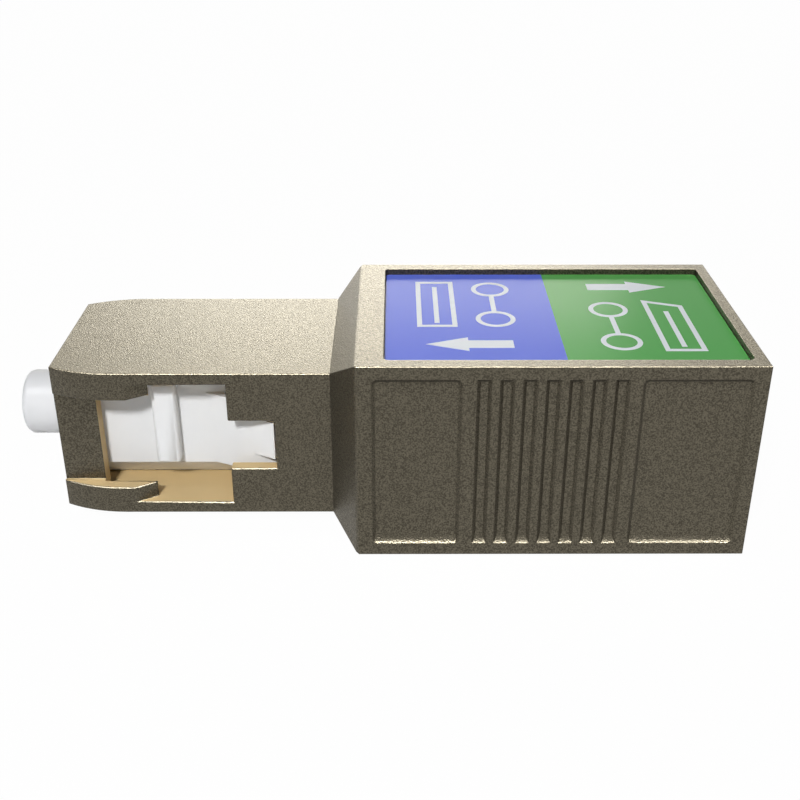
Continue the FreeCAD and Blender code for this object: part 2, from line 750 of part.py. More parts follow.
arm_end = "(%s + hook_length)" % BASE_END
arm_outer = "(%s - hook_gap)" % SOCKET_WIDTH
arm_inner = "(%s - hook_thickness)" % arm_outer
tooth_tip = "(%s - tooth_height)" % arm_inner
for side, sign in (("front", "-1"), ("back", "1")):
    arm = new_sketch(latch, side + "_arm_plan", "plan")
    corners = [
        (BASE_END, arm_inner),
        (arm_end + " - tooth_length", arm_inner),
        (arm_end + " - tooth_length", tooth_tip),
        (arm_end + " - tooth_lead", tooth_tip),
        (arm_end, arm_inner),
        (arm_end, arm_outer),
        (BASE_END, arm_outer),
    ]
    placed = [(x, "%s * (%s)" % (sign, y)) for x, y in corners]
    outline(arm, placed if side == "back" else placed[::-1])
    pad(latch, side + "_arm", arm, "hook_width", both=True)
    head = new_sketch(latch, side + "_head_plan", "plan")
    low = "(%s + 2 * head_rise)" % arm_inner
    high = "(%s + head_rise)" % arm_outer
    if side == "front":
        box(head, arm_end + " - head_length", arm_end, "-" + high, "-" + low)
    else:
        box(head, arm_end + " - head_length", arm_end, low, high)
    pad(latch, side + "_head", head, "head_width", both=True)

# Split sleeve
sleeve = new_body("split_sleeve")
sleeve_inner = "(%s + sleeve_clearance)" % radius
section = new_sketch(sleeve, "sleeve_section", "end", SLEEVE_START)
disc(section, "2 * " + sleeve_outer)
disc(section, "2 * " + sleeve_inner)
pad(sleeve, "sleeve_tube", section, "sleeve_length")
cut = new_sketch(sleeve, "slit_plan", "plan")
box(cut, SLEEVE_START + " - overshoot", SLEEVE_END + " + overshoot", "-sleeve_slit / 2", "sleeve_slit / 2")
pocket(sleeve, "slit", cut, "2 * " + sleeve_outer, back=True)

# Check and write every piece
doc.recompute()
os.makedirs("parts", exist_ok=True)
for item in doc.Objects:
    if "Invalid" in item.State or "Error" in item.State:
        raise RuntimeError("%s is in error: %s" % (item.Label, item.getStatusString()))
for item in doc.Objects:
    if item.TypeId != "PartDesign::Body":
        continue
    shape = item.Shape
    if not shape.isValid() or len(shape.Solids) != 1:
        raise RuntimeError("%s is no single valid solid" % item.Label)
    shape.exportStep(os.path.join("parts", item.Label + ".step"))
    room = shape.BoundBox
    print("%-15s %9.3f mm3  x %.2f %.2f  y %.2f %.2f  z %.2f %.2f" % (
        item.Label, shape.Volume, room.XMin, room.XMax, room.YMin, room.YMax, room.ZMin, room.ZMax))
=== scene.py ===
import math

import bmesh
import bpy
from bpy.props import FloatProperty, FloatVectorProperty, IntProperty, PointerProperty
from mathutils import Matrix, Vector


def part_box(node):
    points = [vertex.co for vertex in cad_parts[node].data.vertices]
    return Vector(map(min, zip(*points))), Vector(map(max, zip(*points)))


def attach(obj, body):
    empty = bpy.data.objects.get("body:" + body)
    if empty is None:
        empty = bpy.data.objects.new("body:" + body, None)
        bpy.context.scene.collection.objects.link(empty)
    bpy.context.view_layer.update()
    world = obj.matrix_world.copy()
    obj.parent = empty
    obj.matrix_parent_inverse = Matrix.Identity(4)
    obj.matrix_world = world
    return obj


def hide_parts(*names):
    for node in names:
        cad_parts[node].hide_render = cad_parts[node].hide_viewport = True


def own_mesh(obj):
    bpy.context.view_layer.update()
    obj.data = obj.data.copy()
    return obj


bl_info = {
    "name": "Male to Female Fibre Adapter",
    "version": (1, 0, 0),
    "blender": (4, 5, 0),
    "location": "3D View > Sidebar > Fibre Adapter",
    "description": "Gives the fibre adapter its finishes, label print, smooth turned pieces and studio",
    "category": "Object",
}

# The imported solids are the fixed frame, and their box is kept before any piece is added.
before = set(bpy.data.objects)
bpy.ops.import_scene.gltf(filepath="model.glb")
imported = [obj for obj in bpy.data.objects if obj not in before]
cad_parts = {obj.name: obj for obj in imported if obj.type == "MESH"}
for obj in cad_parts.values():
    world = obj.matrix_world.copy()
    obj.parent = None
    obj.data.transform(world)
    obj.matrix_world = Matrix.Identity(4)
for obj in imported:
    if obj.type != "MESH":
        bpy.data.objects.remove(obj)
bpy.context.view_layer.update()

MM = 0.001
WHITE = (1.0, 1.0, 1.0)
# Edges that turn by more than this stay sharp when a piece is shaded smooth.
SHARP_ANGLE = math.radians(30)
# Edges that turn by less than this lie in a flat face, and square edges turn by more than the other.
FLAT_ANGLE = math.radians(0.5)
SQUARE_ANGLE = math.radians(60)
# Faces this near to the shell's ends, or that look outward by more than this, are on its outside.
END_DEPTH = 0.1 * MM
OUTWARD_LIMIT = 0.2
# Square edges are rounded when they are this many times as long as the round is wide.
LONG_EDGE = 4
# Corners nearer than this are merged into one.
MERGE_DISTANCE = 0.0005 * MM
# Flat parts of the rounds on the shell's edges, the cap's edge and the turned pieces.
EDGE_PARTS = 4
CAP_EDGE_PARTS = 8
TURN_PARTS = 96
# Flat parts round a printed ring, round the spring's wire and along one turn of the spring.
RING_PARTS = 48
WIRE_PARTS = 14
COIL_PARTS = 32
# Room between the cap's bore and the ferrule.
CAP_CLEARANCE = 0.02 * MM
# Values of a noise between which it moves a number, and between which the grain turns bright.
NOISE_LOW = 0.3
NOISE_HIGH = 0.7
GRAIN_LOW = 0.38
GRAIN_HIGH = 0.62
# Octaves of the grain's noise, and the rays that soften the shading of an edge.
GRAIN_DETAIL = 3.0
EDGE_SAMPLES = 16
# A plain finish drifts at this pitch, gets this much darker and moves its roughness this far either way.
DRIFT_PITCH = 1.2 * MM
DRIFT_SHADE = 0.96
DRIFT_ROUGHNESS = 0.03
# The label film's pitch of drift, its least and greatest roughness and its gloss.
FILM_PITCH = 1.5 * MM
FILM_SMOOTH = 0.20
FILM_ROUGH = 0.24
FILM_GLOSS = 0.04
FIBRE_COLOUR = (0.35, 0.38, 0.42)
# Half the floor's width, and how far it lies below the adapter.
FLOOR_REACH = 2.0
FLOOR_GAP = 0.01 * MM
# What the lamps look at.
LAMP_AIM = Vector((-7.0 * MM, 0.0, 5.0 * MM))
# The camera's sensor in millimetres, and the nearest thing it sees.
SENSOR_WIDTH = 36.0
NEAREST = 1.0 * MM

# Arrows on the label: the tip along the axis, the place across it and the way the arrow points.
ARROWS = (
    (-5.85 * MM, -3.27 * MM, -1.0),
    (6.5 * MM, 3.78 * MM, 1.0),
)
# Ferrule signs on the label: left, right, low and high side, and the slant of the end.
FERRULE_SIGNS = (
    (-6.2 * MM, -4.3 * MM, -1.3 * MM, 4.5 * MM, 0.0),
    (4.9 * MM, 6.8 * MM, -4.05 * MM, 2.0 * MM, 0.7 * MM),
)
# Through signs on the label: the middle along the axis, the low and high end and the rings' radius.
THROUGH_SIGNS = (
    (-2.45 * MM, -1.3 * MM, 4.4 * MM, 0.95 * MM),
    (3.1 * MM, -3.95 * MM, 1.75 * MM, 0.95 * MM),
)

FERRULE_LOW, FERRULE_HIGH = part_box("ferrule")
CAP_LOW, CAP_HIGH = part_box("ferrule_cap")
SPRING_LOW, SPRING_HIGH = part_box("ferrule_spring")
LABEL_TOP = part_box("label")[1][2]
SHELL_LOW, SHELL_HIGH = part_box("outer_shell")
AXIS_HEIGHT = (FERRULE_LOW[2] + FERRULE_HIGH[2]) / 2
FERRULE_RADIUS = (FERRULE_HIGH[2] - FERRULE_LOW[2]) / 2


def colour_setting(name, description, default):
    """A setting that holds a colour."""
    return FloatVectorProperty(
        name=name, description=description, subtype="COLOR", min=0.0, max=1.0, default=default
    )


def length_setting(name, description, default):
    """A setting that holds a length in metres."""
    return FloatProperty(name=name, description=description, unit="LENGTH", precision=6, default=default)


def share_setting(name, description, default):
    """A setting between nothing and all."""
    return FloatProperty(
        name=name, description=description, subtype="FACTOR", min=0.0, max=1.0, default=default
    )


def power_setting(name, description, default):
    """A setting that holds a lamp's power in watts."""
    return FloatProperty(name=name, description=description, unit="POWER", default=default)


def angle_setting(name, description, default):
    """A setting that holds an angle."""
    return FloatProperty(name=name, description=description, subtype="ANGLE", default=default)


class PlatingSettings(bpy.types.PropertyGroup):
    """The pearl plating of the outer shell."""

    colour: colour_setting(
        "Plating",
        "Colour of the plating on the crowns of the grain",
        (0.136, 0.121, 0.089),
    )
    dull_colour: colour_setting(
        "Dull Plating",
        "Colour of the plating in the hollows of the grain",
        (0.057, 0.050, 0.037),
    )
    # Matt gold for the faces inside the window and the bores, much lighter than the outer plating: the
    # matt finish is the shell's own, its lightness a painted reflection of the white frame.
    inner_matt_and_reflection_colour: colour_setting(
        "Inner Plating",
        "Colour of the smooth matt plating inside the window and the bores",
        (0.60, 0.45, 0.235),
    )
    inner_width: length_setting(
        "Inner Width",
        "Width of the space across the axis that holds the inner faces",
        8.98 * MM,
    )
    inner_height: length_setting(
        "Inner Height",
        "Height of the space about the axis that holds the inner faces",
        7.2 * MM,
    )
    bridge_width: length_setting(
        "Bridge Width",
        "Width across the two bridges between the arms at the plug's tip",
        7.8 * MM,
    )
    arm_length: length_setting(
        "Arm Length",
        "Length of the arms at the plug's tip, whose faces count as outside",
        4.5 * MM,
    )
    arm_gap: length_setting("Arm Gap", "Height between the lower and the upper arm", 5.0 * MM)
    low_roughness: share_setting("Smoothest", "Roughness on the crowns of the grain", 0.30)
    high_roughness: share_setting("Roughest", "Roughness in the hollows of the grain", 0.40)
    grain_pitch: length_setting(
        "Grain Pitch",
        "Distance between neighbouring bumps of the pebbled grain",
        0.064 * MM,
    )
    grain_depth: length_setting("Grain Depth", "Height of the pebbled grain", 0.028 * MM)
    edge_round: length_setting("Edge Round", "Radius over which the shading of an edge turns", 0.06 * MM)
    edge_width: length_setting("Edge Width", "Width of the round on the shell's square edges", 0.07 * MM)


class LabelSettings(bpy.types.PropertyGroup):
    """The two-coloured label and its white print."""

    plug_colour: colour_setting(
        "Plug Field",
        "Colour of the label's half at the plug end",
        (0.105, 0.17, 0.80),
    )
    socket_colour: colour_setting(
        "Socket Field",
        "Colour of the label's half at the socket end",
        (0.088, 0.405, 0.09),
    )
    ink_colour: colour_setting("Ink", "Colour of the printed arrows and signs", (0.80, 0.85, 0.90))
    boundary: length_setting("Boundary", "Place along the axis where the two fields meet", 0.38 * MM)
    ink_thickness: length_setting("Ink Thickness", "Height of the print above the label", 0.008 * MM)
    arrow_shaft: length_setting("Arrow Shaft", "Length of an arrow's shaft", 2.05 * MM)
    arrow_head: length_setting("Arrow Head", "Length of an arrow's head", 1.95 * MM)
    shaft_width: length_setting("Shaft Width", "Width of an arrow's shaft", 0.83 * MM)
    head_width: length_setting("Head Width", "Width of an arrow's head", 1.5 * MM)
    stroke: length_setting("Stroke", "Width of the lines of the printed signs", 0.24 * MM)


class PlasticSettings(bpy.types.PropertyGroup):
    """The white plastic and ceramic pieces."""

    frame_colour: colour_setting(
        "Frame",
        "Colour of the plug frame and the latch insert",
        (0.76, 0.77, 0.78),
    )
    cap_colour: colour_setting("Cap", "Colour of the ferrule cap", (0.76, 0.77, 0.79))
    ceramic_colour: colour_setting(
        "Ceramic",
        "Colour of the ferrule and the split sleeve",
        (0.78, 0.76, 0.71),
    )
    cap_edge: length_setting("Cap Edge", "Radius of the round edge at the cap's closed end", 0.35 * MM)


class MetalSettings(bpy.types.PropertyGroup):
    """The small metal pieces inside the adapter."""

    steel_colour: colour_setting(
        "Steel",
        "Colour of the spring, the stop ring and the ferrule's collar",
        (0.56, 0.57, 0.58),
    )
    wire_diameter: length_setting("Wire", "Diameter of the spring's wire", 0.45 * MM)
    turns: IntProperty(
        name="Turns",
        description="Turns of the spring",
        min=2,
        max=12,
        default=5,
    )
    travel: length_setting("Travel", "How far the collar presses the spring together", 1.0 * MM)


class StageSettings(bpy.types.PropertyGroup):
    """The floor, the lamps and the camera."""

    floor_colour: colour_setting("Floor", "Colour of the pale floor", (0.80, 0.80, 0.80))
    floor_glow: share_setting(
        "Floor Glow",
        "Share of plain white in the floor as the camera and reflections see it",
        0.98,
    )
    key_power: power_setting("Key Lamp", "Power of the lamp in front of the adapter and above it", 0.187)
    strip_power: power_setting(
        "Strip Lamp",
        "Power of the long lamp that draws the bright lines along the edges",
        2.5,
    )
    panel_power: power_setting("Back Panel", "Power of the light panel behind the adapter", 0.175)
    wide_power: power_setting("Wide Panel", "Power of the dim, wide panel behind the adapter", 0.222)
    high_power: power_setting(
        "High Panel",
        "Power of the dim panel that hangs above the wide one",
        0.222,
    )
    fill_power: power_setting(
        "Fill Panel",
        "Power of the panel behind the adapter that lights matt surfaces",
        0.11,
    )
    panel_colour: colour_setting(
        "Panel Colour",
        "Colour of the light panels behind the adapter",
        (1.0, 0.965, 0.865),
    )
    room_light: FloatProperty(
        name="Room Light",
        description="Strength of the even light from all round",
        min=0.0,
        max=2.0,
        default=0.08,
    )
    camera_place: FloatVectorProperty(
        name="Camera",
        description="Where the camera stands",
        subtype="TRANSLATION",
        unit="LENGTH",
        default=(-7.2034 * MM, -50.1223 * MM, 30.5235 * MM),
    )
    camera_turn: angle_setting(
        "Camera Turn",
        "How far the camera looks to the right of straight ahead",
        math.radians(0.2332),
    )
    camera_tilt: angle_setting("Camera Tilt", "How far the camera looks down", math.radians(27.0872))
    camera_roll: angle_setting(
        "Camera Roll",
        "How far the camera leans about its own line of sight",
        math.radians(0.0538),
    )
    lens: FloatProperty(
        name="Lens",
        description="Focal length on a 36 mm sensor, in millimetres",
        default=50.955,
    )


def node_material(name):
    """A new material with its shader, and its object coordinates ready to use."""
    material = bpy.data.materials.new(name)
    material.use_nodes = True
    tree = material.node_tree
    shader = tree.nodes["Principled BSDF"]
    coords = tree.nodes.new("ShaderNodeTexCoord")
    return material, tree, shader, coords.outputs["Object"]


def noise(tree, vector, pitch, detail=2.0):
    """Noise whose bumps are about a pitch apart."""
    node = tree.nodes.new("ShaderNodeTexNoise")
    node.inputs["Scale"].default_value = 1.0 / pitch
    node.inputs["Detail"].default_value = detail
    tree.links.new(vector, node.inputs["Vector"])
    return node.outputs["Fac"]


def vary_number(tree, pattern, socket, low, high):
    """Lets a pattern move a number between two values."""
    spread = tree.nodes.new("ShaderNodeMapRange")
    spread.inputs["From Min"].default_value = NOISE_LOW
    spread.inputs["From Max"].default_value = NOISE_HIGH
    spread.inputs["To Min"].default_value = low
    spread.inputs["To Max"].default_value = high
    tree.links.new(pattern, spread.inputs["Value"])
    tree.links.new(spread.outputs["Result"], socket)


def vary_colour(tree, pattern, socket, first, second):
    """Lets a pattern move a socket's colour between two values."""
    blend = tree.nodes.new("ShaderNodeMixRGB")
    blend.inputs["Color1"].default_value = (*first, 1.0)
    blend.inputs["Color2"].default_value = (*second, 1.0)
    tree.links.new(pattern, blend.inputs["Fac"])
    tree.links.new(blend.outputs["Color"], socket)


def shaded(colour, share):
    """The same colour, darker."""
    return tuple(part * share for part in colour)


def plating_material(settings):
    """Dark champagne plating over a fine pebbled grain, with soft edges."""
    material, tree, shader, coords = node_material("pearl_plating")
    shader.inputs["Metallic"].default_value = 1.0
    grain = noise(tree, coords, settings.grain_pitch, GRAIN_DETAIL)
    shade = tree.nodes.new("ShaderNodeMapRange")
    shade.inputs["From Min"].default_value = GRAIN_LOW
    shade.inputs["From Max"].default_value = GRAIN_HIGH
    tree.links.new(grain, shade.inputs["Value"])
    base = shader.inputs["Base Color"]
    vary_colour(tree, shade.outputs["Result"], base, settings.dull_colour, settings.colour)
    vary_number(tree, grain, shader.inputs["Roughness"], settings.high_roughness, settings.low_roughness)
    edges = tree.nodes.new("ShaderNodeBevel")
    edges.samples = EDGE_SAMPLES
    edges.inputs["Radius"].default_value = settings.edge_round
    relief = tree.nodes.new("ShaderNodeBump")
    relief.inputs["Strength"].default_value = 1.0
    relief.inputs["Distance"].default_value = settings.grain_depth
    tree.links.new(grain, relief.inputs["Height"])
    tree.links.new(edges.outputs["Normal"], relief.inputs["Normal"])
    tree.links.new(relief.outputs["Normal"], shader.inputs["Normal"])
    return material


def label_material(settings):
    """A smooth film with one colour at the plug end and another at the socket end."""
    material, tree, shader, coords = node_material("label_film")
    place = tree.nodes.new("ShaderNodeSeparateXYZ")
    tree.links.new(coords, place.inputs["Vector"])
    half = tree.nodes.new("ShaderNodeMath")
    half.operation = "GREATER_THAN"
    half.inputs[1].default_value = settings.boundary
    tree.links.new(place.outputs["X"], half.inputs[0])
    field = shader.inputs["Base Color"]
    vary_colour(tree, half.outputs["Value"], field, settings.plug_colour, settings.socket_colour)
    drift = noise(tree, coords, FILM_PITCH)
    vary_number(tree, drift, shader.inputs["Roughness"], FILM_SMOOTH, FILM_ROUGH)
    shader.inputs["Specular IOR Level"].default_value = FILM_GLOSS
    return material


def plain_material(name, colour, roughness, metallic=0.0, gloss=0.5):
    """A plain finish with a faint drift in its colour and its roughness."""
    material, tree, shader, coords = node_material(name)
    shader.inputs["Metallic"].default_value = metallic
    shader.inputs["Specular IOR Level"].default_value = gloss
    drift = noise(tree, coords, DRIFT_PITCH)
    vary_colour(tree, drift, shader.inputs["Base Color"], colour, shaded(colour, DRIFT_SHADE))
    smooth = roughness - DRIFT_ROUGHNESS
    rough = roughness + DRIFT_ROUGHNESS
    vary_number(tree, drift, shader.inputs["Roughness"], smooth, rough)
    return material


def finish_node(name, material):
    """Gives a CAD node one material."""
    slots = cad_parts[name].data.materials
    slots.clear()
    slots.append(material)


def add_piece(name, shape, material, body):
    """Turns a bmesh into a piece of the adapter that is shaded smooth up to its sharp edges."""
    bmesh.ops.recalc_face_normals(shape, faces=shape.faces)
    keep_sharp(shape)
    mesh = bpy.data.meshes.new(name)
    shape.to_mesh(mesh)
    shape.free()
    piece = bpy.data.objects.new(name, mesh)
    bpy.context.scene.collection.objects.link(piece)
    mesh.materials.append(material)
    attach(piece, body)
    return piece


def keep_sharp(shape):
    """Shades a bmesh smooth and marks the edges that turn too far."""
    for face in shape.faces:
        face.smooth = True
    for edge in shape.edges:
        edge.smooth = edge.is_manifold and edge.calc_face_angle(0.0) < SHARP_ANGLE


def merged_shape(node):
    """A bmesh of a CAD node with the corners of its triangles merged."""
    shape = bmesh.new()
    shape.from_mesh(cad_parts[node].data)
    bmesh.ops.remove_doubles(shape, verts=shape.verts, dist=MERGE_DISTANCE)
    return shape


def smooth_copy(node, name, material, body):
    """A merged copy of a CAD node that shades its rounds smoothly, shown in the node's place."""
    piece = add_piece(name, merged_shape(node), material, body)
    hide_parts(node)


def soften_edges(shape, width):
    """Rounds the long square edges of a shape, so that they catch the light."""
    bmesh.ops.dissolve_limit(shape, angle_limit=FLAT_ANGLE, verts=shape.verts, edges=shape.edges)
    bmesh.ops.recalc_face_normals(shape, faces=shape.faces)
    square = []
    for edge in shape.edges:
        turn = edge.calc_face_angle_signed(0.0)
        if turn > SQUARE_ANGLE and edge.calc_length() > LONG_EDGE * width:
            square.append(edge)
    bmesh.ops.bevel(
        shape,
        geom=square,
        offset=width,
        offset_type="OFFSET",
        segments=EDGE_PARTS,
        profile=0.5,
        affect="EDGES",
        clamp_overlap=False,
        material=-1,
    )


def mark_inner_faces(shape, settings):
    """Gives the second material to the faces that look into the window and the bores, whose light matt
    gold is partly their matt finish and partly a painted reflection of the white frame.
    """
    for face in shape.faces:
        middle = face.calc_center_median()
        height = middle.z - AXIS_HEIGHT
        looks_out = max(
            math.copysign(face.normal.y, face.normal.y * middle.y),
            math.copysign(face.normal.z, face.normal.z * height),
        )
        depth = min(middle.x - SHELL_LOW[0], SHELL_HIGH[0] - middle.x)
        within = abs(middle.y) < settings.inner_width / 2 and abs(height) < settings.inner_height / 2
        beside_bridge = abs(middle.y) > settings.bridge_width / 2 and abs(height) < settings.arm_gap / 2
        on_arm = beside_bridge and middle.x < SHELL_LOW[0] + settings.arm_length
        if within and looks_out < OUTWARD_LIMIT and depth > END_DEPTH and not on_arm:
            face.material_index = 1


def turned(corners):
    """A profile of places along the axis and radii, turned about the optical axis."""
    shape = bmesh.new()
    line = [shape.verts.new((along, 0.0, AXIS_HEIGHT + radius)) for along, radius in corners]
    edges = [shape.edges.new(pair) for pair in zip(line, line[1:])]
    bmesh.ops.spin(
        shape,
        geom=line + edges,
        cent=(0.0, 0.0, AXIS_HEIGHT),
        axis=(1.0, 0.0, 0.0),
        angle=math.tau,
        steps=TURN_PARTS,
        use_merge=True,
    )
    bmesh.ops.remove_doubles(shape, verts=shape.verts, dist=MERGE_DISTANCE)
    return shape


def raise_ink(shape, thickness):
    """Gives flat print its thickness."""
    grown = bmesh.ops.extrude_face_region(shape, geom=shape.faces[:])
    tops = [item for item in grown["geom"] if isinstance(item, bmesh.types.BMVert)]
    bmesh.ops.translate(shape, verts=tops, vec=(0.0, 0.0, thickness))


def draw_arrow(shape, settings, tip, side, direction):
    """A solid arrow that points along the axis, its tip at the given place."""
    neck = tip - direction * settings.arrow_head
    tail = neck - direction * settings.arrow_shaft
    half_shaft = settings.shaft_width / 2
    half_head = settings.head_width / 2
    upper = [(tail, half_shaft), (neck, half_shaft), (neck, half_head), (tip, 0.0)]
    lower = [(neck, -half_head), (neck, -half_shaft), (tail, -half_shaft)]
    points = [shape.verts.new((x, side + y, LABEL_TOP)) for x, y in upper + lower]
    shape.faces.new(points)


def draw_outline(shape, corners, stroke):
    """A closed line of one width inside the given corners."""
    face = shape.faces.new([shape.verts.new((x, y, LABEL_TOP)) for x, y in corners])
    face.normal_update()
    bmesh.ops.inset_region(shape, faces=[face], thickness=stroke, use_boundary=True, use_even_offset=True)
    bmesh.ops.delete(shape, geom=[face], context="FACES")


def draw_bar(shape, left, right, low, high):
    """A solid bar."""
    corners = [(left, low), (right, low), (right, high), (left, high)]
    shape.faces.new([shape.verts.new((x, y, LABEL_TOP)) for x, y in corners])


def draw_ring(shape, x, y, radius, stroke):
    """A ring of one line width."""
    made = bmesh.ops.create_circle(
        shape,
        cap_ends=True,
        segments=RING_PARTS,
        radius=radius,
        matrix=Matrix.Translation((x, y, LABEL_TOP)),
    )
    face = made["verts"][0].link_faces[0]
    bmesh.ops.inset_region(shape, faces=[face], thickness=stroke, use_boundary=True, use_even_offset=True)
    bmesh.ops.delete(shape, geom=[face], context="FACES")


def draw_ferrule_sign(shape, settings, left, right, low, high, slant):
    """A ferrule seen from the side, its end cut square or at a slant, with its fibre inside."""
    stroke = settings.stroke
    draw_outline(shape, [(left, low), (right, low), (right, high - slant), (left, high)], stroke)
    middle = (left + right) / 2
    draw_bar(shape, middle - stroke / 2, middle + stroke / 2, low + 2 * stroke, high - slant - 3 * stroke)


def draw_through_sign(shape, settings, middle, low, high, radius):
    """Two rings joined by a line, for light that passes straight through."""
    stroke = settings.stroke
    draw_ring(shape, middle, low + radius, radius, stroke)
    draw_ring(shape, middle, high - radius, radius, stroke)
    draw_bar(shape, middle - stroke / 2, middle + stroke / 2, low + 2 * radius, high - 2 * radius)


class ADAPTER_OT_plate_shell(bpy.types.Operator):
    """Shades the outer shell smoothly and plates it"""

    bl_idname = "adapter.plate_shell"
    bl_label = "Plate Shell"

    def execute(self, context):
        settings = context.scene.adapter_plating
        material = plating_material(settings)
        finish_node("outer_shell", material)
        shape = merged_shape("outer_shell")
        soften_edges(shape, settings.edge_width)
        mark_inner_faces(shape, settings)
        shell = add_piece("plated_shell", shape, material, "shell")
        even = shell.modifiers.new("even_normals", "WEIGHTED_NORMAL")
        even.keep_sharp = True
        # The inner faces get a matt gold much lighter than the outer plating; that lightness is a painted
        # reflection of the white frame inside the window.
        inside = plain_material("inner_plating_painted_reflection", settings.inner_matt_and_reflection_colour, roughness=0.5, gloss=0.1)
        shell.data.materials.append(inside)
        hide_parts("outer_shell")
        return {"FINISHED"}


class ADAPTER_OT_print_label(bpy.types.Operator):
    """Colours the label's two fields and prints its arrows and signs"""

    bl_idname = "adapter.print_label"
    bl_label = "Print Label"

    def execute(self, context):
        settings = context.scene.adapter_label
        finish_node("label", label_material(settings))
        ink = plain_material("label_ink", settings.ink_colour, roughness=0.3, gloss=0.05)
        shape = bmesh.new()
        for tip, side, direction in ARROWS:
            draw_arrow(shape, settings, tip, side, direction)
        for left, right, low, high, slant in FERRULE_SIGNS:
            draw_ferrule_sign(shape, settings, left, right, low, high, slant)
        for middle, low, high, radius in THROUGH_SIGNS:
            draw_through_sign(shape, settings, middle, low, high, radius)
        raise_ink(shape, settings.ink_thickness)
        add_piece("label_print_signs", shape, ink, "shell")
        return {"FINISHED"}


class ADAPTER_OT_mould_frame(bpy.types.Operator):
    """Finishes the plug frame and the latch insert in white plastic"""

    bl_idname = "adapter.mould_frame"
    bl_label = "Mould Frame"

    def execute(self, context):
        colour = context.scene.adapter_plastic.frame_colour
        material = plain_material("white_plastic", colour, roughness=0.35, gloss=0.05)
        for node, name in (("plug_frame", "moulded_frame"), ("latch_insert", "moulded_latch")):
            finish_node(node, material)
            smooth_copy(node, name, material, "core")
        return {"FINISHED"}


class ADAPTER_OT_turn_cap(bpy.types.Operator):
    """Turns the soft white cap that covers the ferrule"""

    bl_idname = "adapter.turn_cap"
    bl_label = "Turn Cap"

    def execute(self, context):
        settings = context.scene.adapter_plastic
        material = plain_material("cap_plastic", settings.cap_colour, roughness=0.3, gloss=0.04)
        finish_node("ferrule_cap", material)
        outer = (CAP_HIGH[2] - CAP_LOW[2]) / 2
        inner = FERRULE_RADIUS + CAP_CLEARANCE
        closed = CAP_LOW[0]
        open_end = CAP_HIGH[0]
        edge = settings.cap_edge
        corners = [(closed, 0.0)]
        for step in range(CAP_EDGE_PARTS, -1, -1):
            angle = math.radians(90 * step / CAP_EDGE_PARTS)
            corners.append((closed + edge * (1 - math.sin(angle)), outer - edge + edge * math.cos(angle)))
        corners += [(open_end, outer), (open_end, inner), (FERRULE_LOW[0], inner), (FERRULE_LOW[0], 0.0)]
        cap = add_piece("turned_cap", turned(corners), material, "cap")
        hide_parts("ferrule_cap")
        return {"FINISHED"}


class ADAPTER_OT_grind_ferrule(bpy.types.Operator):
    """Finishes the ceramic ferrule, its fibre and the split sleeve"""

    bl_idname = "adapter.grind_ferrule"
    bl_label = "Grind Ferrule"

    def execute(self, context):
        colour = context.scene.adapter_plastic.ceramic_colour
        ceramic = plain_material("zirconia", colour, roughness=0.15)
        finish_node("ferrule", ceramic)
        smooth_copy("ferrule", "ground_ferrule", ceramic, "ferrule_unit")
        finish_node("split_sleeve", ceramic)
        smooth_copy("split_sleeve", "ground_sleeve", ceramic, "core")
        finish_node("fibre_stub", plain_material("fibre_glass", FIBRE_COLOUR, roughness=0.08))
        return {"FINISHED"}


class ADAPTER_OT_wind_spring(bpy.types.Operator):
    """Winds the spring and finishes the stop ring and the ferrule's collar in steel"""

    bl_idname = "adapter.wind_spring"
    bl_label = "Wind Spring"

    def execute(self, context):
        settings = context.scene.adapter_metal
        steel = plain_material("spring_steel", settings.steel_colour, roughness=0.28, metallic=1.0)
        for node in ("stop_ring", "ferrule_flange", "ferrule_spring"):
            finish_node(node, steel)
        wire = settings.wire_diameter / 2
        mean = (SPRING_HIGH[2] - SPRING_LOW[2]) / 2 - wire
        steps = COIL_PARTS * settings.turns
        rise = (SPRING_HIGH[0] - SPRING_LOW[0] - 2 * wire) / steps
        shape = bmesh.new()
        start = Matrix.Translation((SPRING_LOW[0] + wire, 0.0, AXIS_HEIGHT + mean))
        ring = bmesh.ops.create_circle(
            shape,
            cap_ends=True,
            segments=WIRE_PARTS,
            radius=wire,
            matrix=start @ Matrix.Rotation(math.radians(90), 4, "X"),
        )
        bmesh.ops.spin(
            shape,
            geom=ring["verts"][0].link_faces[:],
            cent=(0.0, 0.0, AXIS_HEIGHT),
            axis=(1.0, 0.0, 0.0),
            dvec=(rise, 0.0, 0.0),
            angle=math.tau * settings.turns,
            steps=steps,
        )
        spring = add_piece("wound_spring", shape, steel, "core")
        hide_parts("ferrule_spring")
        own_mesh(spring)
        return {"FINISHED"}


